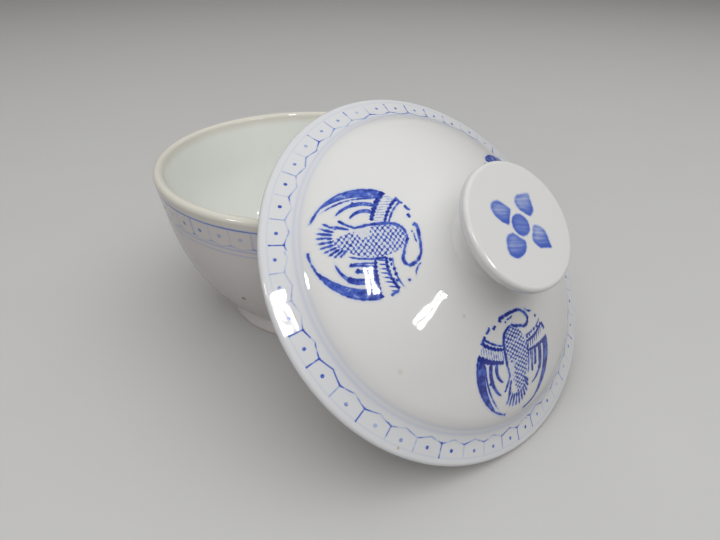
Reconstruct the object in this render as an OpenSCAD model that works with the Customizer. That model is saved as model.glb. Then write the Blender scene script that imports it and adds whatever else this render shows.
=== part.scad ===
// Lidded donburi bowl in glazed porcelain.
// The bowl stands on its foot ring at the origin. The lid is taken off: its brim stands on the table
// in front of the bowl (-Y) and the locating ring under it leans on the bowl's rim.

/* [Bowl] */
// Outer diameter of the mouth, over the rounded rim
bowl_mouth_d = 148.6; // [130:0.2:166]
// Height of the bowl from the table to the top of the rim
bowl_h = 81.6; // [70:0.2:96]
// Thickness of the wall, and of the rounded rim
bowl_wall = 4.6; // [3.4:0.1:6]
// Lean of the upper wall away from upright, in degrees
bowl_flare = 9.5; // [5:0.5:14]
// Height where the straight upper wall runs into the round belly
belly_top_h = 58; // [50:0.5:66]
// Thickness of the floor over the foot ring
bowl_floor = 6; // [4:0.2:9]
// Radius of the curve between the floor and the wall, inside
floor_curve_r = 30; // [20:1:40]

/* [Foot ring] */
// Outer diameter of the foot ring
foot_d = 89.2; // [74:0.2:96]
// Height of the foot ring
foot_h = 8.5; // [5:0.1:11]
// Thickness of the foot ring
foot_wall = 5.4; // [4:0.1:8]
// Rounding of the edge that the bowl stands on
foot_edge_r = 1.4; // [0.6:0.1:1.8]
// Step by which the belly stands out over the foot ring
foot_step = 0.4; // [0.2:0.1:1.5]

/* [Lid] */
// Outer diameter of the lid's brim
lid_d = 160; // [150:0.2:172]
// Thickness of the lid's wall, and of the rounded edge of its brim
lid_wall = 3.6; // [2.8:0.1:4.6]
// Height of the dome above the middle of the brim's edge
lid_rise = 30; // [26:0.2:36]
// Radius of the hollow curve that carries the dome out into the brim
brim_curve_r = 23; // [18:0.5:26]
// Slope of the brim's top at its edge, in degrees
brim_slope = 12; // [6:0.5:18]
// Radius of the dome's shoulder, just above the brim
shoulder_r = 18; // [12:0.5:24]
// Steepest slope of the dome, where shoulder and brim meet, in degrees
shoulder_slope = 48; // [42:0.5:54]

/* [Locating ring] */
// How far the ring under the lid, which drops into the bowl's mouth, stands in from the brim's edge
ring_inset = 14; // [12:0.2:18]
// Thickness of the ring
ring_wall = 3.6; // [2.8:0.1:4.6]
// Depth of the ring below the middle of the brim's edge
ring_drop = 7.3; // [4:0.1:9]
// Least depth of the flat land under the lid that the ring is joined to
land_step = 0.6; // [0.4:0.1:1.5]

/* [Knob] */
// Diameter of the knob's flat disc
knob_d = 50; // [40:0.2:60]
// Height of the knob over its seat on the dome
knob_h = 20.4; // [16:0.2:26]
// Thickness of the disc at its edge
knob_edge = 4.8; // [3.6:0.1:6]
// Diameter of the neck at its narrowest
neck_d = 25; // [18:0.2:28]
// Radius of the hollow curve at the foot of the neck
neck_curve_r = 3.2; // [2:0.1:4]
// Fall of the disc's underside from its edge to the neck, in degrees
underside_slope = 14; // [8:0.5:20]

/* [Leaning lid] */
// Tilt of the lid from level, in degrees
lid_tilt = 45.3; // [40:0.1:52]
// Gap left between the lid and the bowl's rim
lean_gap = 0.3; // [0.2:0.05:0.6]

/* [Hidden] */
$fn = 128;
arc_steps = 20;
lean_steps = 40;
lean_angle = 150;

// Points of an arc about c, with angles measured from straight up towards the outside
function spot(c, r, a) = c + r * [sin(a), cos(a)];
function arc(c, r, a0, a1) = [for (i = [0:arc_steps]) spot(c, r, a0 + (a1 - a0) * i / arc_steps)];
function bearing(from, to) = atan2(to[0] - from[0], to[1] - from[1]);
function sq(x) = x * x;

// Bowl: the rim is a full round, and the belly is one arc from the wall's foot to the foot ring
rim_r = bowl_wall / 2;
rim_c = [bowl_mouth_d / 2 - rim_r, bowl_h - rim_r];
wall_a = 90 + bowl_flare;
rim_out = spot(rim_c, rim_r, wall_a);
wall_run = (rim_out[1] - belly_top_h) / cos(bowl_flare);
belly_top = rim_out - wall_run * [sin(bowl_flare), cos(bowl_flare)];
belly_foot = [foot_d / 2 + foot_step, foot_h];
belly_span = belly_foot - belly_top;
belly_r = -(belly_span * belly_span) / (2 * belly_span * [sin(wall_a), cos(wall_a)]);
belly_c = spot(belly_top, -belly_r, wall_a);
inner_r = belly_r - bowl_wall;
floor_z = foot_h + bowl_floor;
floor_curve_z = floor_z + floor_curve_r;
floor_flat_r = belly_c[0] + sqrt(sq(inner_r - floor_curve_r) - sq(floor_curve_z - belly_c[1]));
floor_c = [floor_flat_r, floor_curve_z];
bowl_outline = concat(
    [[0, foot_h]],
    arc(belly_c, belly_r, bearing(belly_c, belly_foot), wall_a),
    arc(rim_c, rim_r, wall_a, wall_a - 180),
    arc(belly_c, inner_r, wall_a, bearing(belly_c, floor_c)),
    arc(floor_c, floor_curve_r, bearing(belly_c, floor_c), 180),
    [[0, floor_z]]);

// Foot ring: flat on top, where it is joined to the bowl, and rounded where it stands
foot_out_c = [foot_d / 2 - foot_edge_r, foot_edge_r];
foot_in_c = [foot_d / 2 - foot_wall + foot_edge_r, foot_edge_r];
foot_outline = concat(
    [[foot_d / 2 - foot_wall, foot_h], [foot_d / 2, foot_h]],
    arc(foot_out_c, foot_edge_r, 90, 180),
    arc(foot_in_c, foot_edge_r, 180, 270));

// Lid, in its own frame: level zero is the middle of the brim's rounded edge
edge_r = lid_wall / 2;
edge_c = [lid_d / 2 - edge_r, 0];
brim_c = spot(edge_c, edge_r + brim_curve_r, brim_slope);
shoulder_c = spot(brim_c, -brim_curve_r - shoulder_r, shoulder_slope);
brim_under_r = brim_curve_r + lid_wall;
shoulder_under_r = shoulder_r - lid_wall;
shoulder_fall = shoulder_c[1] - lid_rise;
crown_r = (sq(shoulder_r) - sq(shoulder_c[0]) - sq(shoulder_fall)) / (2 * (shoulder_fall + shoulder_r));
crown_c = [0, lid_rise - crown_r];
crown_a = bearing(crown_c, shoulder_c);
seat_a = asin((neck_d / 2 + neck_curve_r) / crown_r);
seat_z = spot(crown_c, crown_r, seat_a)[1];
lid_outline = concat(
    [[0, seat_z]],
    arc(crown_c, crown_r, seat_a, crown_a),
    arc(shoulder_c, shoulder_r, crown_a, shoulder_slope),
    arc(brim_c, -brim_curve_r, shoulder_slope, brim_slope),
    arc(edge_c, edge_r, brim_slope, brim_slope + 180),
    arc(brim_c, -brim_under_r, brim_slope, shoulder_slope),
    arc(shoulder_c, shoulder_under_r, shoulder_slope, crown_a),
    arc(crown_c, crown_r - lid_wall, crown_a, 0));

// Locating ring: its flat top meets a flat land, a step below the lid's underside at the ring's outer face
ring_out = lid_d / 2 - ring_inset;
ring_in = ring_out - ring_wall;
nose_r = ring_wall / 2;
nose_c = [ring_out - nose_r, nose_r - ring_drop];
brim_start = spot(brim_c, -brim_under_r, shoulder_slope);
function under_z(x) = x > brim_start[0]
    ? brim_c[1] - sqrt(sq(brim_under_r) - sq(brim_c[0] - x))
    : shoulder_c[1] + sqrt(sq(shoulder_under_r) - sq(x - shoulder_c[0]));
ring_top_z = under_z(ring_out) - land_step;
land_outline = [
    [ring_in, ring_top_z],
    [ring_out, ring_top_z],
    [ring_out, under_z(ring_out) + lid_wall / 2],
    [ring_in, under_z(ring_in) + lid_wall / 2]];
ring_outline = concat(
    [[ring_in, ring_top_z], [ring_out, ring_top_z]],
    arc(nose_c, nose_r, 90, 270));

// Knob: a hollow curve up from the dome, a short neck, and a disc with a rounded edge
neck_r = neck_d / 2;
neck_c = [neck_r + neck_curve_r, seat_z + neck_curve_r];
knob_top_z = seat_z + knob_h;
disc_edge_r = knob_edge / 2;
disc_c = [knob_d / 2 - disc_edge_r, knob_top_z - disc_edge_r];
under_edge = spot(disc_c, disc_edge_r, 180 - underside_slope);
under_neck_z = under_edge[1] - (under_edge[0] - neck_r) * tan(underside_slope);
knob_outline = concat(
    [[0, seat_z]],
    arc(neck_c, neck_curve_r, 180, 270),
    [[neck_r, under_neck_z]],
    arc(disc_c, disc_edge_r, 180 - underside_slope, 0),
    [[0, knob_top_z]]);

// Where the lid stands: its brim's lowest point is on the table, and it is slid towards the bowl
// until the ring, or the dome's inside, is the lean gap away from the rim
lid_z = edge_c[0] * sin(lid_tilt) + edge_r;
function rim_spot(a) = [rim_c[0] * sin(a), -rim_c[0] * cos(a), rim_c[1]];
function in_lid(p, y) = let (dy = p[1] - y, dz = p[2] - lid_z)
    [norm([p[0], dy * cos(lid_tilt) + dz * sin(lid_tilt)]), dz * cos(lid_tilt) - dy * sin(lid_tilt)];
function dome_gap(q) = bearing(crown_c, q) < crown_a
    ? crown_r - lid_wall - norm(q - crown_c)
    : shoulder_under_r - norm(q - shoulder_c);
function lid_gap(q) = q[1] < nose_c[1]
    ? norm(q - nose_c) - nose_r
    : min(ring_in - q[0], dome_gap(q));
function lean_room(y) = min([for (a = [0:lean_angle]) lid_gap(in_lid(rim_spot(a), y))]) - rim_r;
function lean_y(clear, close, left) = left == 0 ? clear :
    let (y = (clear + close) / 2)
    lean_room(y) > lean_gap ? lean_y(y, close, left - 1) : lean_y(clear, y, left - 1);
lid_y = lean_y(-(bowl_mouth_d + lid_d) / 2, 0, lean_steps);

module turned(outline) {
    rotate_extrude() polygon(outline);
}

module leaning() {
    translate([0, lid_y, lid_z]) rotate([lid_tilt, 0, 0]) children();
}

module bowl_body() {
    color("whitesmoke") turned(bowl_outline);
}

module bowl_foot_ring() {
    color("gainsboro") turned(foot_outline);
}

module lid_shell() {
    color("ghostwhite") leaning() union() {
        turned(lid_outline);
        turned(land_outline);
    }
}

module lid_locating_ring() {
    color("linen") leaning() turned(ring_outline);
}

module lid_knob() {
    color("lavender") leaning() turned(knob_outline);
}

bowl_body();
bowl_foot_ring();
lid_shell();
lid_locating_ring();
lid_knob();
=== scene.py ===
"""Looks of a lidded donburi bowl: grey-white porcelain, painted in cobalt under a clear glossy glaze.

Sizes are in millimetres and turned into metres where a mesh or a lamp is made.
"""

from functools import reduce
from math import acos, asin, atan2, cos, degrees, hypot, pi, radians, sin, sqrt, tan

import bmesh
import bpy
from mathutils import Matrix, Vector


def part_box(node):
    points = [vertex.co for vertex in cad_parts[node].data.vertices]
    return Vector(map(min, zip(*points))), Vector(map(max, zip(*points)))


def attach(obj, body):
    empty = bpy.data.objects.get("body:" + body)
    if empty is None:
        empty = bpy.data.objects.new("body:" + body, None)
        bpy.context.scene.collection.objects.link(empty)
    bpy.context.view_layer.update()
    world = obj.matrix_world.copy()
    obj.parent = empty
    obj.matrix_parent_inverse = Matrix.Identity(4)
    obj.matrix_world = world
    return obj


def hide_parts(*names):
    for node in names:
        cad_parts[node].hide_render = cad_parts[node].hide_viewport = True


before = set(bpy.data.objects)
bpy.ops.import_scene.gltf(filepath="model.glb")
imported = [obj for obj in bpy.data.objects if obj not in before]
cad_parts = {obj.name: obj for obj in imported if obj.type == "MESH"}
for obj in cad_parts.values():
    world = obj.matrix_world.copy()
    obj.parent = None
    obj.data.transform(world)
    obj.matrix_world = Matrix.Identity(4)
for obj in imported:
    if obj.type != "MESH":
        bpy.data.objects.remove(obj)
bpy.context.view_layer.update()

MM = 0.001
TURN_STEPS = 256
ARC_STEPS = 28

# Bowl
BOWL_MOUTH_R = 74.3
BOWL_H = 81.6
BOWL_WALL = 4.6
BOWL_FLARE = 9.5
BELLY_TOP_H = 58
BOWL_FLOOR = 6
FLOOR_CURVE_R = 30

# Foot ring
FOOT_R = 44.6
FOOT_H = 8.5
FOOT_WALL = 5.4
FOOT_EDGE_R = 1.4
FOOT_STEP = 0.4
FOOT_GLAZE_FILLET = 1.6
FOOT_BARE_H = 1.1

# Lid, in its own frame: level zero is the middle of the brim's rounded edge
LID_R = 80
LID_WALL = 3.6
LID_RISE = 30
BRIM_CURVE_R = 23
BRIM_SLOPE = 12
SHOULDER_R = 18
SHOULDER_SLOPE = 48
LID_TILT = 45.3
# The brim's top is almost flat, with a tighter hollow next to the shoulder
BRIM_TOP_R = 150
BRIM_TOP_SLOPE = 18.4
HOLLOW_R = 16

# Locating ring under the lid
RING_INSET = 14
RING_WALL = 3.6
RING_DROP = 7.3
RING_FILLET = 1.5

# Knob
KNOB_R = 25
KNOB_H = 20.4
KNOB_EDGE = 4.8
KNOB_TOP_CORNER_R = 1.6
KNOB_LOW_CORNER_R = 1.8
NECK_R = 12.5
NECK_CURVE_R = 3.2
NECK_TOP_CURVE_R = 2.4
UNDERSIDE_SLOPE = 14


def spot(centre, radius, angle):
    """The point at an angle measured in degrees from straight up towards the outside."""
    return (centre[0] + radius * sin(radians(angle)), centre[1] + radius * cos(radians(angle)))


def arc(centre, radius, start, end):
    """Points of an arc between two such angles."""
    return [spot(centre, radius, start + (end - start) * i / ARC_STEPS) for i in range(ARC_STEPS + 1)]


def bearing(centre, point):
    """The angle at which a point lies from a centre."""
    return degrees(atan2(point[0] - centre[0], point[1] - centre[1]))


def corner(near, beside, facing):
    """The angle between two sides of a triangle that faces its third side."""
    return degrees(acos((near ** 2 + beside ** 2 - facing ** 2) / (2 * near * beside)))


def turned(name, outline, place=Matrix()):
    """A mesh piece made by turning an outline of radius and height once round the vertical axis."""
    mesh = bmesh.new()
    corners = [mesh.verts.new((r, 0, z)) for r, z in outline]
    edges = [mesh.edges.new(pair) for pair in zip(corners, corners[1:])]
    bmesh.ops.spin(mesh, geom=corners + edges, axis=(0, 0, 1), cent=(0, 0, 0), angle=2 * pi,
                   steps=TURN_STEPS, use_merge=True)
    bmesh.ops.remove_doubles(mesh, verts=mesh.verts, dist=0.001)
    bmesh.ops.recalc_face_normals(mesh, faces=mesh.faces)
    bmesh.ops.transform(mesh, matrix=Matrix.Scale(MM, 4) @ place, verts=mesh.verts)
    for face in mesh.faces:
        face.smooth = True
    data = bpy.data.meshes.new(name)
    mesh.to_mesh(data)
    mesh.free()
    piece = bpy.data.objects.new(name, data)
    bpy.context.scene.collection.objects.link(piece)
    return piece


# Outlines of the bowl
rim_r = BOWL_WALL / 2
rim_c = (BOWL_MOUTH_R - rim_r, BOWL_H - rim_r)
wall_angle = 90 + BOWL_FLARE
rim_out = spot(rim_c, rim_r, wall_angle)
belly_top = (rim_out[0] - (rim_out[1] - BELLY_TOP_H) * tan(radians(BOWL_FLARE)), BELLY_TOP_H)
belly_foot = (FOOT_R + FOOT_STEP, FOOT_H)
belly_span = Vector(belly_foot) - Vector(belly_top)
belly_r = -belly_span.length_squared / (2 * belly_span @ Vector(spot((0, 0), 1, wall_angle)))
belly_c = spot(belly_top, -belly_r, wall_angle)
inner_r = belly_r - BOWL_WALL
floor_z = FOOT_H + BOWL_FLOOR
floor_c_z = floor_z + FLOOR_CURVE_R
floor_c = (belly_c[0] + sqrt((inner_r - FLOOR_CURVE_R) ** 2 - (floor_c_z - belly_c[1]) ** 2), floor_c_z)
floor_angle = bearing(belly_c, floor_c)
bowl_outline = [
    (0, FOOT_H),
    *arc(belly_c, belly_r, bearing(belly_c, belly_foot), wall_angle),
    *arc(rim_c, rim_r, wall_angle, wall_angle - 180),
    *arc(belly_c, inner_r, wall_angle, floor_angle),
    *arc(floor_c, FLOOR_CURVE_R, floor_angle, 180),
    (0, floor_z),
]

# The foot ring, with a fillet of glaze where it meets the belly
foot_out_c = (FOOT_R - FOOT_EDGE_R, FOOT_EDGE_R)
foot_in_c = (FOOT_R - FOOT_WALL + FOOT_EDGE_R, FOOT_EDGE_R)
fillet_c = (FOOT_R + FOOT_GLAZE_FILLET, FOOT_H - FOOT_GLAZE_FILLET + FOOT_STEP)
foot_outline = [
    (FOOT_R - FOOT_WALL, FOOT_H),
    (FOOT_R, FOOT_H),
    *arc(fillet_c, -FOOT_GLAZE_FILLET, 150, 90),
    *arc(foot_out_c, FOOT_EDGE_R, 90, 180),
    *arc(foot_in_c, FOOT_EDGE_R, 180, 270),
    (FOOT_R - FOOT_WALL, FOOT_H),
]

# Outlines of the lid
edge_r = LID_WALL / 2
edge_c = (LID_R - edge_r, 0)
brim_c = spot(edge_c, edge_r + BRIM_CURVE_R, BRIM_SLOPE)
shoulder_c = spot(brim_c, -BRIM_CURVE_R - SHOULDER_R, SHOULDER_SLOPE)
shoulder_fall = shoulder_c[1] - LID_RISE
crown_r = (SHOULDER_R ** 2 - shoulder_c[0] ** 2 - shoulder_fall ** 2) / (2 * (shoulder_fall + SHOULDER_R))
crown_c = (0, LID_RISE - crown_r)
crown_angle = bearing(crown_c, shoulder_c)
seat_angle = degrees(asin((NECK_R + NECK_CURVE_R) / crown_r))
seat_z = spot(crown_c, crown_r, seat_angle)[1]
brim_top_c = spot(edge_c, edge_r + BRIM_TOP_R, BRIM_TOP_SLOPE)
to_brim_top = hypot(brim_top_c[0] - shoulder_c[0], brim_top_c[1] - shoulder_c[1])
hollow_turn = corner(to_brim_top, BRIM_TOP_R - HOLLOW_R, HOLLOW_R + SHOULDER_R)
hollow_angle = bearing(shoulder_c, brim_top_c) - hollow_turn
hollow_c = spot(brim_top_c, HOLLOW_R - BRIM_TOP_R, hollow_angle)
hollow_end = bearing(shoulder_c, hollow_c)
lid_outline = [
    (0, seat_z),
    *arc(crown_c, crown_r, seat_angle, crown_angle),
    *arc(shoulder_c, SHOULDER_R, crown_angle, hollow_end),
    *arc(hollow_c, -HOLLOW_R, hollow_end, hollow_angle),
    *arc(brim_top_c, -BRIM_TOP_R, hollow_angle, BRIM_TOP_SLOPE),
    *arc(edge_c, edge_r, BRIM_TOP_SLOPE, BRIM_SLOPE + 180),
    *arc(brim_c, -BRIM_CURVE_R - LID_WALL, BRIM_SLOPE, SHOULDER_SLOPE),
    *arc(shoulder_c, SHOULDER_R - LID_WALL, SHOULDER_SLOPE, crown_angle),
    *arc(crown_c, crown_r - LID_WALL, crown_angle, 0),
]


def underside(r):
    """Height of the lid's underside at a radius on the brim or the shoulder."""
    if r > spot(brim_c, -BRIM_CURVE_R - LID_WALL, SHOULDER_SLOPE)[0]:
        return brim_c[1] - sqrt((BRIM_CURVE_R + LID_WALL) ** 2 - (brim_c[0] - r) ** 2)
    return shoulder_c[1] + sqrt((SHOULDER_R - LID_WALL) ** 2 - (r - shoulder_c[0]) ** 2)


# The locating ring grows out of the lid's underside with a fillet on each side
ring_out = LID_R - RING_INSET
ring_in = ring_out - RING_WALL
nose_c = (ring_out - RING_WALL / 2, RING_WALL / 2 - RING_DROP)
ring_outer_foot = underside(ring_out + RING_FILLET)
ring_inner_foot = underside(ring_in - RING_FILLET)
ring_outline = [
    (ring_in - RING_FILLET, ring_inner_foot),
    (ring_out + RING_FILLET, ring_outer_foot),
    *arc((ring_out + RING_FILLET, ring_outer_foot - RING_FILLET), RING_FILLET, 0, -90),
    *arc(nose_c, RING_WALL / 2, 90, 270),
    *arc((ring_in - RING_FILLET, ring_inner_foot - RING_FILLET), RING_FILLET, 90, 0),
]

# The knob: a hollow curve up from the dome, a short neck and a disc with a rounded edge
neck_c = (NECK_R + NECK_CURVE_R, seat_z + NECK_CURVE_R)
knob_top_z = seat_z + KNOB_H
disc_top_c = (KNOB_R - KNOB_TOP_CORNER_R, knob_top_z - KNOB_TOP_CORNER_R)
disc_low_c = (KNOB_R - KNOB_LOW_CORNER_R, knob_top_z - KNOB_EDGE + KNOB_LOW_CORNER_R)
under_edge = spot(disc_low_c, KNOB_LOW_CORNER_R, 180 - UNDERSIDE_SLOPE)
under_neck_z = under_edge[1] - (under_edge[0] - NECK_R) * tan(radians(UNDERSIDE_SLOPE))
neck_top_drop = NECK_TOP_CURVE_R * tan(radians(45 - UNDERSIDE_SLOPE / 2))
neck_top_c = (NECK_R + NECK_TOP_CURVE_R, under_neck_z - neck_top_drop)
knob_outline = [
    (0, seat_z),
    *arc(neck_c, NECK_CURVE_R, 180, 270),
    *arc(neck_top_c, NECK_TOP_CURVE_R, 270, 360 - UNDERSIDE_SLOPE),
    *arc(disc_low_c, KNOB_LOW_CORNER_R, 180 - UNDERSIDE_SLOPE, 90),
    *arc(disc_top_c, KNOB_TOP_CORNER_R, 90, 0),
    (0, knob_top_z),
]

# Where the CAD has put the leaning lid
tilt = radians(LID_TILT)
lid_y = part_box("lid_shell")[0][1] / MM + edge_c[0] * cos(tilt) + edge_r
lid_z = edge_c[0] * sin(tilt) + edge_r
lid_place = Matrix.Translation((0, lid_y, lid_z)) @ Matrix.Rotation(tilt, 4, "X")
lid_axis = lid_place.to_3x3() @ Vector((0, 0, 1))

bowl = turned("porcelain_bowl", bowl_outline)
foot = turned("turned_foot_ring", foot_outline)
lid = turned("domed_lid", lid_outline, lid_place)
ring = turned("luted_locating_ring", ring_outline, lid_place)
knob = turned("disc_knob", knob_outline, lid_place)


# Glaze and cobalt
GLAZE_IOR = 1.52
GLAZE_ROUGHNESS = 0.035
GLAZE_WAVE = 4.5
GLAZE_WAVE_DETAIL = 0.6
GLAZE_WAVE_DEPTH = 0.05
WHITE = (0.80, 0.80, 0.785, 1)
COBALT_PALE = (0.36, 0.47, 0.77, 1)
COBALT_MID = (0.070, 0.130, 0.55, 1)
COBALT_DARK = (0.022, 0.036, 0.28, 1)


class Value:
    """A shader value that Python's operators work on."""

    def __init__(self, glaze, socket):
        self.glaze = glaze
        self.socket = socket

    def math(self, operation, *others):
        inputs = dict(enumerate((self, *others)))
        return self.glaze.add("ShaderNodeMath", {"operation": operation}, inputs)

    def __add__(self, other):
        return self.math("ADD", other)

    def __sub__(self, other):
        return self.math("SUBTRACT", other)

    def __mul__(self, other):
        return self.math("MULTIPLY", other)

    def __truediv__(self, other):
        return self.math("DIVIDE", other)

    def __rsub__(self, other):
        return self * -1 + other

    def __abs__(self):
        return self.math("ABSOLUTE")

    __radd__ = __add__
    __rmul__ = __mul__

    def least(self, other):
        return self.math("MINIMUM", other)

    def most(self, other):
        return self.math("MAXIMUM", other)

    def above(self, level):
        return self.math("GREATER_THAN", level)

    def fade(self, start, end):
        """Smoothly from 0 to 1 as the value goes from start to end."""
        inputs = {0: self, 1: start, 2: end}
        return self.glaze.add("ShaderNodeMapRange", {"interpolation_type": "SMOOTHSTEP"}, inputs)


class Glaze:
    """A porcelain material under construction, with its nodes."""

    def __init__(self, name):
        self.material = bpy.data.materials.new(name)
        self.material.use_nodes = True
        self.tree = self.material.node_tree
        self.shader = self.tree.nodes["Principled BSDF"]

    def add(self, kind, settings, inputs, output=0):
        node = self.tree.nodes.new(kind)
        for key, setting in settings.items():
            setattr(node, key, setting)
        for key, value in inputs.items():
            self.feed(node.inputs[key], value)
        return Value(self, node.outputs[output])

    def feed(self, socket, value):
        if isinstance(value, Value):
            self.tree.links.new(value.socket, socket)
        else:
            socket.default_value = value

    def blend(self, amount, low, high):
        """One colour turning into another."""
        return self.add("ShaderNodeMix", {"data_type": "RGBA"}, {0: amount, 6: low, 7: high}, output=2)

    def place(self, shift=(0, 0, 0), turn=(0, 0, 0)):
        """Object coordinates in millimetres, about a shifted and turned origin."""
        point = self.add("ShaderNodeTexCoord", {}, {}, output="Object")
        inputs = {"Vector": point, "Location": [MM * s for s in shift], "Rotation": turn}
        point = self.add("ShaderNodeMapping", {"vector_type": "TEXTURE"}, inputs)
        return self.add("ShaderNodeVectorMath", {"operation": "SCALE"}, {0: point, "Scale": 1 / MM})

    def split(self, point):
        node = self.add("ShaderNodeSeparateXYZ", {}, {0: point}).socket.node
        return [Value(self, output) for output in node.outputs]

    def noise(self, point, grain, detail=2.0):
        """Noise from 0 to 1 with lumps of about one grain, in millimetres."""
        inputs = {"Vector": point, "Scale": 1 / grain, "Detail": detail}
        return self.add("ShaderNodeTexNoise", {}, inputs, output="Fac")

    def waves(self, point):
        """The slow unevenness of a glaze."""
        return self.noise(point, GLAZE_WAVE, GLAZE_WAVE_DETAIL)

    def chance(self, number):
        """A random value from 0 to 1 for each whole number."""
        return self.add("ShaderNodeTexWhiteNoise", {"noise_dimensions": "1D"}, {"W": number})

    def finish(self, colour, roughness, height, depth):
        """Links the surface; depth is how far the glaze's unevenness reaches, in millimetres."""
        bump = {"Strength": 1.0, "Distance": depth * MM, "Height": height}
        self.feed(self.shader.inputs["Base Color"], colour)
        self.feed(self.shader.inputs["Roughness"], roughness)
        self.feed(self.shader.inputs["Normal"], self.add("ShaderNodeBump", {}, bump))
        self.shader.inputs["IOR"].default_value = GLAZE_IOR
        return self.material


PATCH_ROUNDING = 1.6


class Painting:
    """Brush marks on a flat sheet, x and y in millimetres.

    A mark is a distance that is negative inside it.
    """

    def __init__(self, glaze, x, y):
        self.glaze = glaze
        self.x = x
        self.y = y
        self.sheet = glaze.add("ShaderNodeCombineXYZ", {}, {0: x, 1: y, 2: 1.0})

    def slope(self, x_share, y_share, shift):
        """x and y times their shares, plus a shift."""
        inputs = {0: self.sheet, 1: (x_share, y_share, shift)}
        return self.glaze.add("ShaderNodeVectorMath", {"operation": "DOT_PRODUCT"}, inputs, output="Value")

    def reach(self, centre):
        """Distance from a centre."""
        inputs = {0: self.sheet, 1: (*centre, 1.0)}
        return self.glaze.add("ShaderNodeVectorMath", {"operation": "DISTANCE"}, inputs, output="Value")

    def dab(self, centre, radius):
        return self.reach(centre) - radius

    def crescent(self, disc, radius, bite, bite_radius):
        """What a second disc has left of a first one."""
        return self.dab(disc, radius).most(bite_radius - self.reach(bite))

    def patch(self, *corners):
        """A patch between corners that go round clockwise and are a little rounded."""
        sides = []
        for start, end in zip(corners, corners[1:] + corners[:1]):
            run = hypot(end[0] - start[0], end[1] - start[1])
            ux = (end[0] - start[0]) / run
            uy = (end[1] - start[1]) / run
            sides.append(self.slope(-uy, ux, start[0] * uy - start[1] * ux))
        return reduce(lambda patch, side: patch.math("SMOOTH_MAX", side, PATCH_ROUNDING), sides)

    def stroke(self, start, end, bend, half_start, half_end, blunt=7):
        """A stroke that bows to its left by bend, with its half widths; its ends taper unless blunt."""
        run = hypot(end[0] - start[0], end[1] - start[1])
        ux = (end[0] - start[0]) / run
        uy = (end[1] - start[1]) / run
        along = self.slope(ux / run, uy / run, -(start[0] * ux + start[1] * uy) / run)
        across = self.slope(-uy, ux, start[0] * uy - start[1] * ux)
        arch = along * (4 - along * 4)
        half = (along * (half_end - half_start) + half_start).most(0.1) * (arch * blunt).least(1)
        if bend:
            across = across - arch * bend
        return abs(across) - half


def union(marks):
    return reduce(Value.least, marks)


def strongest(inks):
    return reduce(Value.most, inks)


def bow(value, edge, bend, middle):
    """An edge that bends as a value goes away from its middle."""
    return edge + bend * (value - middle) * (value - middle)


CRANE_FROM_AXIS = 46.5
CRANE_TURNS = (-64.8, -173.9, 74.0)
CRANE_INKS = (0.90, 1.15, 1.0)
CRANE_WIDTH = 1.03
CRANE_LENGTH = 0.96

# Strokes: start, end, bend, half width at the start and at the end, bluntness
CRANE_LINES = [
    # Neck: its outer line over the breast, its under line, the bend on the left and the dark nape
    ((6.3, 8.0), (0.6, 14.6), -1.9, 0.55, 0.40, 7),
    ((0.9, 14.7), (-5.4, 12.4), 0.2, 0.40, 0.45, 9),
    ((-4.4, 12.7), (-9.5, 13.9), 1.3, 0.45, 0.70, 9),
    ((-9.5, 13.3), (-4.2, 19.2), 1.3, 0.66, 0.42, 9),
    ((-5.0, 19.1), (6.4, 18.5), 0.4, 0.40, 0.66, 9),
    ((6.4, 18.6), (5.2, 17.2), 0, 0.50, 0.25, 7),
    ((-0.6, 17.7), (2.6, 17.3), -0.2, 0.14, 0.20, 3),
    # Eye and the marks before the beak
    ((8.4, 16.9), (10.0, 15.9), 0, 0.34, 0.50, 4),
    ((11.4, 17.3), (13.4, 15.4), -0.2, 0.35, 0.45, 4),
    ((-12.2, 16.4), (-8.6, 18.4), -0.4, 0.15, 0.25, 3),
    # Body: right edge, left edge and the two feathers beside the tail
    ((6.3, 8.4), (5.0, -4.4), 0.45, 0.60, 0.30, 7),
    ((-6.2, 6.0), (-5.4, -6.2), -0.7, 0.26, 0.22, 7),
    ((5.1, -3.4), (8.3, -9.0), -0.3, 0.28, 0.42, 5),
    ((4.6, -5.8), (6.2, -11.8), 0.2, 0.30, 0.45, 5),
    # Left wing: its inner edge line, the tip and lines beside the body
    ((-16.6, 11.6), (-6.5, 8.2), -1.0, 0.14, 0.14, 9),
    ((-17.6, 9.9), (-19.4, 6.9), -0.2, 0.55, 0.40, 5),
    ((-9.3, 1.9), (-8.4, -6.8), 0.2, 0.24, 0.36, 9),
    ((-8.0, 1.8), (-8.0, -5.8), 0.1, 0.16, 0.20, 9),
    ((-6.5, 2.0), (-6.2, 6.0), 0, 0.34, 0.30, 9),
    # Right wing: its inner edge line, the tip and the line inside the outermost feather
    ((14.8, 13.9), (6.4, 8.4), 0.75, 0.26, 0.20, 9),
    ((16.6, 12.4), (14.2, 14.9), 0.2, 0.55, 0.40, 5),
    ((16.4, 4.4), (12.6, -13.2), 1.5, 0.26, 0.16, 5),
]
CRANE_BARS = [
    ((-20.3, 3.7), (-6.4, 2.1), -0.7, 0.62, 0.45, 12),
    ((19.2, 8.4), (7.5, 2.2), 0.75, 1.00, 0.55, 12),
    ((-17.4, 10.0), (-6.2, 5.9), -1.15, 0.50, 0.38, 9),
    ((16.0, 12.6), (6.5, 6.9), 0.75, 0.52, 0.40, 9),
]
BEAD_PITCH = 1.45
BEAD_DEPTH = 0.8
CRANE_DOTS = [
    ((-14.4, 9.3), 0.48), ((-12.1, 8.9), 0.50), ((-10.3, 8.5), 0.44),
    ((-8.7, 7.6), 0.36), ((-7.0, 7.4), 0.50), ((-14.5, 13.7), 0.42), ((3.2, 16.6), 0.30),
    ((-13.3, -6.7), 0.95), ((-10.5, -4.0), 0.75), ((-8.2, -6.0), 0.50), ((14.9, -3.2), 0.50),
]
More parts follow.
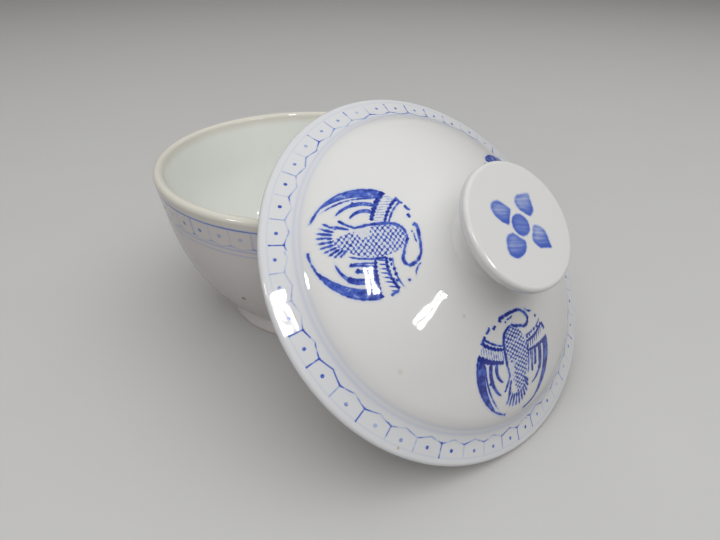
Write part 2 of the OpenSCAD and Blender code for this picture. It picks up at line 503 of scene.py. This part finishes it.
CRANE_FEATHERS = [
    ((-14.2, 2.2), (-13.2, -7.6), -0.5, 1.20, 0.95, 9),
    ((-13.6, -6.4), (-7.6, -11.3), -0.7, 0.80, 0.20, 6),
    ((-11.1, 1.8), (-10.4, -4.8), -0.1, 0.80, 0.55, 9),
    ((13.6, 4.4), (10.3, -9.7), 2.2, 0.95, 0.45, 6),
    ((10.9, 3.2), (8.9, -5.1), 1.5, 0.90, 0.40, 6),
]
LEFT_CRESCENT = ((0, 0.9), 20.7, (8.2, 1.0), 25.1)
LEFT_CRESCENT_TOP = 3.4
RIGHT_CRESCENT = ((0, 0.5), 20.6, (-7.6, -1.2), 24.7)
RIGHT_CRESCENT_TOP = -1.6
RIGHT_CRESCENT_RISE = 0.5
# The roundel's outline runs round its lower half and leaves a gap for the tail
OUTLINE_C = (0, 0.7)
OUTLINE_R = 20.35
OUTLINE_HALF = 0.26
OUTLINE_TOP = 4.6
OUTLINE_RISE = 0.1
OUTLINE_GAP_X = 2.9
OUTLINE_GAP_HALF = 5.3
TAIL_STROKES = 10
TAIL_FROM = (1.2, -3.5)
TAIL_START = 223
TAIL_END = 301
TAIL_LONGEST = 277
TAIL_R = 13.2
TAIL_FALL = 4.4
TAIL_INNER_SHARE = 0.62
TAIL_BRUSH = (0.36, 0.34, 2.5)
SCALE_PITCH = 1.42
SCALE_TURN = 52
SCALE_SHIFT = 0.4
SCALE_SWAY = 0.8
SCALE_HALF = 0.23
SCALES_WORN_AT = (5.4, -1.5)
LEFT_BARB_PITCH = 1.5
RIGHT_BARB_PITCH = 1.05
# Bowed edges of the body and of the wings' barbs: place, bend and middle
BODY_LEFT = (-6.3, 0.031, 2)
BODY_RIGHT = (6.0, -0.012, 8)
BODY_TOP = (14.2, -0.05, 2)
BODY_FOOT = (-12.0, 0.06, 1.5)
LEFT_BARBS_TOP = (5.9, 0.033, -6.3)
RIGHT_BARBS_TOP = (6.9, 0.066, 6.6)
RIGHT_BARBS_FOOT = (2.4, 0.047, 7.6)


def nearest(turn, first, second, third):
    """One of three values, taken from the crane roundel that is nearest."""
    a, b, c = CRANE_TURNS
    steps = {(a + b) / 2: first - second, (c + a) / 2: third - first, (b + c) / 2 + 180: second - third}
    return second + sum((turn.above(half) * step for half, step in steps.items()), 0 * turn)


def tail(paint):
    """Strokes that fan out at the end of the tail."""
    strokes = []
    for i in range(TAIL_STROKES):
        angle = TAIL_START + (TAIL_END - TAIL_START) * i / (TAIL_STROKES - 1)
        tip_r = TAIL_R - TAIL_FALL * ((angle - TAIL_LONGEST) / (TAIL_LONGEST - TAIL_START)) ** 2
        way = Vector((cos(radians(angle)), sin(radians(angle))))
        start = Vector(TAIL_FROM) + way * tip_r * TAIL_INNER_SHARE
        strokes.append(paint.stroke(start, Vector(TAIL_FROM) + way * tip_r, 0, *TAIL_BRUSH))
    return union(strokes)


def scales(paint, grit, patch):
    """Ink of the scales on the body, worn away halfway down its right side."""
    x, y = paint.x, paint.y
    body = (bow(y, *BODY_LEFT) - x).most(x - bow(y, *BODY_RIGHT))
    body = body.most(y - bow(x, *BODY_TOP)).most(bow(x, *BODY_FOOT) - y)
    nets = []
    for angle in (SCALE_TURN, 180 - SCALE_TURN):
        rows = paint.slope(cos(radians(angle)), sin(radians(angle)), SCALE_SHIFT) / SCALE_PITCH
        rows = rows + (patch - 0.5) * SCALE_SWAY
        nets.append(abs(rows.math("FRACT") - 0.5) * SCALE_PITCH)
    knots = nets[0] * nets[0] + nets[1] * nets[1]
    net = union(nets).fade(SCALE_HALF + 0.12, SCALE_HALF - 0.16) * 0.66
    net = net.most(knots.fade(0.38, 0.08)) * body.fade(0.1, -0.5)
    kept = (paint.reach(SCALES_WORN_AT) + (grit - 0.5) * 7).fade(1.6, 5.2)
    net = net * kept * (0.74 + (grit - 0.5) * 2.2)
    return net.most(body.fade(0.6, -0.4) * 0.09)


def barbs(paint, grit):
    """Ink of the short barbs under the wings' edge lines."""
    x, y = paint.x, paint.y
    from_middle = paint.reach((0, 0))
    drop = bow(x, *LEFT_BARBS_TOP) - y
    left = abs((x / LEFT_BARB_PITCH + y * 0.06).math("FRACT") - 0.5).fade(0.32, 0.08)
    left = left * drop.fade(-0.2, 0.2) * (drop + (grit - 0.5) * 4).fade(4.0, 1.6)
    left = left * x.fade(-6.2, -6.9) * from_middle.fade(20.6, 20.0)
    right = abs((x / RIGHT_BARB_PITCH + grit * 0.5).math("FRACT") - 0.5).fade(0.45, 0.0) * 0.34
    right = right + (grit - 0.5) * 0.9
    right = right * (bow(x, *RIGHT_BARBS_TOP) - y).fade(0.0, 0.4)
    right = right * (y - bow(x, *RIGHT_BARBS_FOOT)).fade(0.0, 0.4)
    right = right * x.fade(6.6, 7.4) * from_middle.fade(20.4, 19.8)
    return (left * 0.75).most(right)


def crane(glaze, r, turn, grit, patch):
    """How strongly the three crane roundels are inked, from 0 to 1."""
    off = (turn - nearest(turn, *CRANE_TURNS)) * (pi / 180)
    x = r * off.math("SINE") / CRANE_WIDTH
    y = (CRANE_FROM_AXIS - r * off.math("COSINE")) / CRANE_LENGTH
    paint = Painting(glaze, x, y)

    outline = abs(paint.reach(OUTLINE_C) - OUTLINE_R) - OUTLINE_HALF
    outline = outline.most(y - x * OUTLINE_RISE - OUTLINE_TOP)
    outline = outline.most(OUTLINE_GAP_HALF - abs(x - OUTLINE_GAP_X))
    lines = union([paint.stroke(*mark) for mark in CRANE_LINES] + [tail(paint), outline])

    beads = abs((x / BEAD_PITCH).math("FRACT") - 0.5) * BEAD_DEPTH - BEAD_DEPTH / 4
    bars = [paint.stroke(*mark) + beads for mark in CRANE_BARS]
    darks = union(bars + [paint.dab(*dot) for dot in CRANE_DOTS])

    # The outermost feather of each wing is a crescent along the edge of the roundel
    left = paint.crescent(*LEFT_CRESCENT).most(y - LEFT_CRESCENT_TOP)
    right = paint.crescent(*RIGHT_CRESCENT).most(y - x * RIGHT_CRESCENT_RISE - RIGHT_CRESCENT_TOP)
    washes = union([paint.stroke(*mark) for mark in CRANE_FEATHERS] + [left, right])

    rough = (grit - 0.5) * 0.7
    line_ink = (lines + rough).fade(0.54, -0.34)
    line_ink = line_ink * (0.64 + patch.fade(0.36, 0.60) * 0.44 - grit.fade(0.42, 0.68) * 0.22)
    dark_ink = (darks + rough).fade(0.46, -0.30) * (1.12 - grit.fade(0.44, 0.66) * 0.30)
    pool = (washes + rough).fade(-0.9, -0.05) * 0.14
    mottle = grit.fade(0.44, 0.58) * 0.24 + patch.fade(0.38, 0.62) * 0.34
    wash_ink = (washes + rough).fade(0.34, -0.30) * (0.40 + pool + mottle)
    bleed = lines.least(darks).least(washes).fade(1.3, 0.0) * 0.11
    inks = [line_ink, dark_ink, wash_ink, bleed, scales(paint, grit, patch), barbs(paint, grit)]
    return strongest(inks) * nearest(turn, *CRANE_INKS)


def row_of_cells(glaze, turn, height, cells, first, sway, along, foot, top, roof, dot, brush):
    """A border of five-sided cells with walls from foot to top, pointed roofs and a dot each.

    Heights are across the border, along is a cell's width, sway how far the cells crowd, in degrees,
    and brush half the width of a stroke.
    """
    crowd = (turn * (2 * pi / 180)).math("SINE") - (turn * (3 * pi / 180)).math("SINE")
    count = (turn - first + crowd * sway) * (cells / 360) + cells
    number = count.math("FLOOR")
    share = count.math("FRACT")
    luck = [glaze.chance(number + shift) for shift in (0.1, 0.3, 0.5)]
    wall_luck = glaze.chance((count + 0.5).math("FLOOR") + 0.9)
    strip = glaze.chance((count / 6.6 + 0.4).math("FLOOR") + 0.2)
    height = height + (strip - 0.5) * 1.3

    near_wall = (0.5 - abs(share - 0.5)) * along
    walls = near_wall.most(abs(height - (foot + top) / 2) - abs(top - foot) / 2) - brush
    rise = height - foot
    end_dot = (near_wall * near_wall + rise * rise).math("SQRT") - brush * 1.9
    roofs = abs(rise - near_wall * (2 * (roof - foot) / along)) - brush
    dx = (share - 0.5 + (luck[0] - 0.5) * 0.10) * along
    dy = height - dot + (luck[1] - 0.5) * 0.5
    dots = abs((dx * dx + dy * dy).math("SQRT") - brush * 1.5) - brush * 1.2

    rise = height - top
    far_dot = (near_wall * near_wall + rise * rise).math("SQRT") - brush * 1.4
    wall_ink = walls.fade(0.24, -0.18) * (0.16 + wall_luck * 0.56)
    end_ink = end_dot.fade(0.34, -0.34) * (0.40 + wall_luck * 0.6)
    end_ink = end_ink.most(far_dot.fade(0.30, -0.30) * (wall_luck * 1.3 - 0.35))
    roof_ink = roofs.fade(0.26, -0.20) * (0.20 + luck[2] * 0.45 + near_wall.fade(3.0, 0.0) * 0.30)
    dot_ink = dots.fade(0.26, -0.20) * (0.48 + luck[1] * 0.48)
    return strongest([wall_ink, end_ink, roof_ink, dot_ink])


def ruled_line(height, level, half, soft, ink):
    """Ink of a thin line drawn right round on the wheel."""
    return (abs(height - level) - half).fade(soft, -soft) * ink


def shade(colour, share):
    return [c * share for c in colour[:3]] + [1]


def painted(glaze, ground, ink):
    """Cobalt over a ground colour: pale where it is thin, dark where it has pooled."""
    cobalt = glaze.blend(ink.fade(0.10, 0.60), COBALT_PALE, COBALT_MID)
    cobalt = glaze.blend(ink.fade(0.60, 1.0), cobalt, COBALT_DARK)
    return glaze.blend((ink * 2.4).least(1), ground, cobalt)


def fleck(glaze, colour, point, place, radius, tint, strength):
    """A fleck of iron in the clay that shows through the glaze."""
    inputs = {0: point, 1: place}
    away = glaze.add("ShaderNodeVectorMath", {"operation": "DISTANCE"}, inputs, output="Value")
    return glaze.blend(away.fade(radius, radius * 0.2) * strength, colour, tint)


TAN = (0.50, 0.36, 0.20, 1)
OLIVE = (0.22, 0.14, 0.03, 1)
# Flecks: place, radius, tint and strength
LID_FLECKS = [
    ((-51.8, -26.1, 14.7), 1.5, TAN, 0.22),
    ((-23.4, -20.0, 25.9), 1.0, TAN, 0.35),
    ((-59.2, -50.4, 2.0), 0.9, TAN, 0.65),
]
BOWL_FLECK = ((-58.1, -24.7, 34.0), 1.7, OLIVE, 1.0)

# Borders: see row_of_cells
LID_BORDER = {"cells": 43, "first": -182.0, "sway": 1.8, "along": 10.8,
              "foot": 71.9, "top": 76.8, "roof": 70.3, "dot": 74.4, "brush": 0.24}
# Ruled lines: level, half width, softness and ink
LID_LINES = [(77.3, 0.22, 0.35, 0.10), (68.8, 0.40, 0.7, 0.12), (67.2, 0.35, 0.6, 0.09)]


def lid_glaze():
    glaze = Glaze("painted_lid_glaze")
    point = glaze.place((0, lid_y, lid_z), (tilt, 0, 0))
    x, y = glaze.split(point)[:2]
    r = (x * x + y * y).math("SQRT")
    turn = x.math("ARCTAN2", y) * (180 / pi)
    grit = glaze.noise(point, grain=1.5, detail=3.0)
    patch = glaze.noise(point, grain=3.5, detail=1.0)

    cells = row_of_cells(glaze, turn, r, **LID_BORDER)
    cells = cells * (0.40 + patch.fade(0.30, 0.60) * 0.65) * (0.80 + grit * 0.4)
    lines = [ruled_line(r, *line) for line in LID_LINES]
    ink = strongest([cells * 0.86, *lines, crane(glaze, r, turn, grit, patch)])
    ground = glaze.blend(r.fade(65.5, 68.5) * 0.10, WHITE, COBALT_PALE)
    colour = painted(glaze, ground, ink)
    for spot_of_iron in LID_FLECKS:
        colour = fleck(glaze, colour, point, *spot_of_iron)
    return glaze.finish(colour, grit * 0.03 + GLAZE_ROUGHNESS, glaze.waves(point), GLAZE_WAVE_DEPTH)


BARE_CLAY = (0.60, 0.49, 0.38, 1)


def plain_glaze(name, ground, bare_to=0):
    """Glaze without painting. It is wiped off below a height, where the clay is bare and rough."""
    glaze = Glaze(name)
    point = glaze.place()
    patch = glaze.noise(point, grain=22)
    colour = glaze.blend(patch, ground, shade(ground, 0.955))
    roughness = patch * 0.04 + GLAZE_ROUGHNESS
    if bare_to:
        height = glaze.split(point)[2] + (glaze.noise(point, grain=4) - 0.5) * 0.6
        bare = height.fade(bare_to + 0.15, bare_to - 0.15)
        colour = glaze.blend(bare, colour, BARE_CLAY)
        roughness = roughness + bare * 0.6
    return glaze.finish(colour, roughness, glaze.waves(point), GLAZE_WAVE_DEPTH)


PETALS = [
    ((-10.2, 10.4), (-8.4, 11.6), (-5.0, 11.1), (-1.5, 6.4), (-6.4, 1.4), (-9.6, 4.6), (-10.8, 7.6)),
    ((4.4, 10.0), (11.3, 8.9), (9.3, 2.2), (5.9, 0.8), (1.8, 5.6), (2.0, 8.2)),
    ((-6.6, -1.2), (-2.4, -6.2), (-4.2, -8.8), (-6.9, -10.1), (-10.2, -10.2), (-12.9, -8.2), (-13.2, -5.8),
     (-10.2, -1.4)),
    ((4.8, -2.3), (7.9, -3.5), (9.6, -6.4), (8.1, -12.7), (2.6, -10.9), (0.5, -7.2)),
]
PETALS_TOP = 12.0
PETAL_ROW_H = 12.4
FLOWER_EYE = ((-0.8, -0.3), 4.2)
EYE_GAP = 0.9
BRUSH_HAIR = 1.1
BRUSH_STRETCH = 0.10
BRUSH_ALONG = (0.94, -0.34)
BRUSH_ACROSS = (0.34, 0.94)


def knob_glaze():
    glaze = Glaze("painted_knob_glaze")
    point = glaze.place((0, lid_y, lid_z), (tilt, 0, 0))
    x, y, z = glaze.split(point)
    grit = glaze.noise(point, grain=1.6, detail=3.0)
    paint = Painting(glaze, x, y)
    eye = paint.dab(*FLOWER_EYE)
    petals = union([paint.patch(*corners) for corners in PETALS]).most(EYE_GAP - eye)
    marks = petals.least(eye) + (grit - 0.5) * 0.9
    hairs = {0: paint.slope(*BRUSH_ALONG, 0.0) * BRUSH_STRETCH, 1: paint.slope(*BRUSH_ACROSS, 0.0)}
    brush = glaze.noise(glaze.add("ShaderNodeCombineXYZ", {}, hairs), BRUSH_HAIR)

    # Each petal is darkest at its lower end and along its edge, and the left ones took more cobalt
    load = ((PETALS_TOP - y) / PETAL_ROW_H).math("FRACT").fade(0.30, 1.0) * eye.fade(0.0, 0.5)
    pool = marks.fade(-2.4, 0.0)
    wash = 0.31 + x.fade(4, -6) * 0.05 + eye.fade(0.5, 0.0) * 0.10 + load * 0.20 + pool * 0.085
    wash = wash + (brush - 0.5) * 0.27
    ink = marks.fade(0.70, -0.45) * wash * z.above(knob_top_z - 1)
    colour = painted(glaze, WHITE, ink)
    return glaze.finish(colour, grit * 0.03 + GLAZE_ROUGHNESS, glaze.waves(point), GLAZE_WAVE_DEPTH)


RIM_CREAM = (0.765, 0.745, 0.665, 1)
# The outside white is darker and pinkish as painted shade with a painted warm fill light; the inside white
# is painted lighter as painted light, over the glaze's slight green tint.
BOWL_WHITE_IN_PAINTED_SHADE = (0.755, 0.715, 0.70, 1)
BOWL_INSIDE_IN_PAINTED_LIGHT = (0.885, 0.905, 0.865, 1)
BOWL_BORDER = {"cells": 46, "first": -116.0, "sway": 0.4, "along": 9.9,
               "foot": 67.0, "top": 74.6, "roof": 65.7, "dot": 70.8, "brush": 0.34}
BOWL_LINES = [(65.4, 0.34, 0.45, 0.28), (62.9, 0.34, 0.45, 0.23)]
BOWL_TOP_LINE = (76.0, 0.45, 0.55)


def bowl_glaze(name, ground, bordered):
    glaze = Glaze(name)
    point = glaze.place()
    x, y, z = glaze.split(point)
    patch = glaze.noise(point, grain=20)
    grit = glaze.noise(point, grain=1.5, detail=3.0)
    colour = glaze.blend(patch, ground, shade(ground, 0.95))
    colour = glaze.blend((z + (patch - 0.5) * 3).fade(75.0, 79.6), colour, RIM_CREAM)
    if bordered:
        turn = x.math("ARCTAN2", y) * (180 / pi)
        cells = row_of_cells(glaze, turn, z, **BOWL_BORDER)
        lines = [ruled_line(z, *line) for line in BOWL_LINES]
        lines.append(ruled_line(z, *BOWL_TOP_LINE, 0.30 + patch * 0.34))
        ink = strongest([cells * 0.50 * (0.7 + grit * 0.5), *lines])
        colour = painted(glaze, colour, ink)
        colour = fleck(glaze, colour, point, *BOWL_FLECK)
    return glaze.finish(colour, patch * 0.04 + GLAZE_ROUGHNESS, glaze.waves(point), GLAZE_WAVE_DEPTH)


def give(piece, body, node, slot, *materials, second=None):
    """Puts a piece in a CAD node's place, with its materials.

    Faces that second picks get the second material.
    """
    for material in materials:
        piece.data.materials.append(material)
    if second:
        for face in piece.data.polygons:
            face.material_index = int(second(face))
    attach(piece, body)
    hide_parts(node)


def faces_axis(face):
    """Whether a face of the bowl looks inwards."""
    return face.normal.x * face.center.x + face.normal.y * face.center.y < 0 and face.normal.z > -0.5


underside_glaze = plain_glaze("plain_lid_glaze", (0.775, 0.785, 0.765, 1))
# The bowl's outside and foot ring get the white with painted shade, the inside the white with painted
# light.
give(bowl, "bowl", "bowl_body", "decorated_glaze",
     bowl_glaze("painted_bowl_glaze", BOWL_WHITE_IN_PAINTED_SHADE, True),
     bowl_glaze("bowl_inside_glaze", BOWL_INSIDE_IN_PAINTED_LIGHT, False), second=faces_axis)
give(foot, "bowl", "bowl_foot_ring", "plain_glaze", plain_glaze("foot_glaze", BOWL_WHITE_IN_PAINTED_SHADE, FOOT_BARE_H))
give(lid, "lid", "lid_shell", "decorated_glaze", lid_glaze(), underside_glaze,
     second=lambda face: face.normal @ lid_axis < 0)
give(ring, "lid", "lid_locating_ring", "plain_glaze", underside_glaze)
give(knob, "lid", "lid_knob", "decorated_glaze", knob_glaze())

# Floor, lamps and camera
FLOOR_SIZE = 6.0
FLOOR_COLOUR = (0.62, 0.62, 0.61, 1)
FLOOR_ROUGHNESS = 0.75
FLOOR_GRAIN_DEPTH = 0.02
LOOK_AT = Vector((0, -0.05, 0.05))


def floor():
    mesh = bmesh.new()
    bmesh.ops.create_grid(mesh, x_segments=2, y_segments=2, size=FLOOR_SIZE / 2)
    data = bpy.data.meshes.new("floor")
    mesh.to_mesh(data)
    mesh.free()
    ground = bpy.data.objects.new("floor", data)
    bpy.context.scene.collection.objects.link(ground)
    paper = Glaze("floor_paper")
    point = paper.place()
    colour = paper.blend(paper.noise(point, grain=60), FLOOR_COLOUR, shade(FLOOR_COLOUR, 0.97))
    grain = paper.noise(point, grain=2)
    data.materials.append(paper.finish(colour, FLOOR_ROUGHNESS, grain, FLOOR_GRAIN_DEPTH))
    # It throws no soft light back, so that the pieces' low sides stay in shade
    ground.visible_diffuse = False


def lamp(name, direction, distance, width, height, power, lean=0, shift=(0, 0), mirrored=False):
    """A rectangular lamp that faces the object, leaning and shifted in its own plane.

    It either lights the pieces softly or is mirrored in their glaze.
    """
    data = bpy.data.lights.new(name, "AREA")
    data.shape = "RECTANGLE"
    data.size = width
    data.size_y = height
    data.energy = power
    light = bpy.data.objects.new(name, data)
    bpy.context.scene.collection.objects.link(light)
    turn = Vector(direction).to_track_quat("Z", "Y").to_matrix().to_4x4()
    light.matrix_world = (Matrix.Translation(LOOK_AT) @ turn @ Matrix.Rotation(radians(lean), 4, "Z")
                          @ Matrix.Translation((*shift, distance)))
    light.visible_diffuse = not mirrored
    light.visible_glossy = mirrored


floor()
lamp("soft_top_lamp", (0.07, -0.12, 1.0), distance=1.2, width=2.0, height=2.0, power=15.8)
lamp("soft_front_lamp", (-0.70, -0.55, 0.50), distance=1.5, width=1.4, height=1.4, power=7.4)
lamp("side_panel", (-0.855, 0.085, 0.51), distance=1.5, width=0.24, height=0.16, power=4.0,
     mirrored=True)
for side in (-1, 1):
    lamp("ceiling_panel", (-0.24, -0.57, 0.785), distance=1.5, width=0.042, height=0.31, power=2.2,
         shift=(0.036 * side, -0.04), mirrored=True)
    lamp("ceiling_tube", (0.143, -0.857, 0.495), distance=1.8, width=1.10, height=0.056, power=5.0,
         lean=17, shift=(0.13, 0.04 + 0.040 * side), mirrored=True)

world = bpy.data.worlds.new("studio")
bpy.context.scene.world = world
world.use_nodes = True
sky = world.node_tree.nodes["Background"].inputs
sky["Color"].default_value = (1.0, 0.96, 0.95, 1)
sky["Strength"].default_value = 0.16

PHOTO_WIDTH = 720
FOCAL_LENGTH = 566.2
CAMERA_AT = (-161.93, -217.16, 184.38)
CAMERA_YAW = -0.7399
CAMERA_DOWN = 0.5641
CAMERA_ROLL = 0.0119

camera_data = bpy.data.cameras.new("camera")
camera = bpy.data.objects.new("camera", camera_data)
bpy.context.scene.collection.objects.link(camera)
camera_data.sensor_width = 36
camera_data.lens = FOCAL_LENGTH / PHOTO_WIDTH * camera_data.sensor_width
camera_data.clip_start = 0.01
camera.matrix_world = (Matrix.Translation(Vector(CAMERA_AT) * MM)
                       @ Matrix.Rotation(CAMERA_YAW, 4, "Z")
                       @ Matrix.Rotation(pi / 2 - CAMERA_DOWN, 4, "X")
                       @ Matrix.Rotation(CAMERA_ROLL, 4, "Z"))
bpy.context.scene.camera = camera
bpy.context.scene.view_settings.view_transform = "Standard"
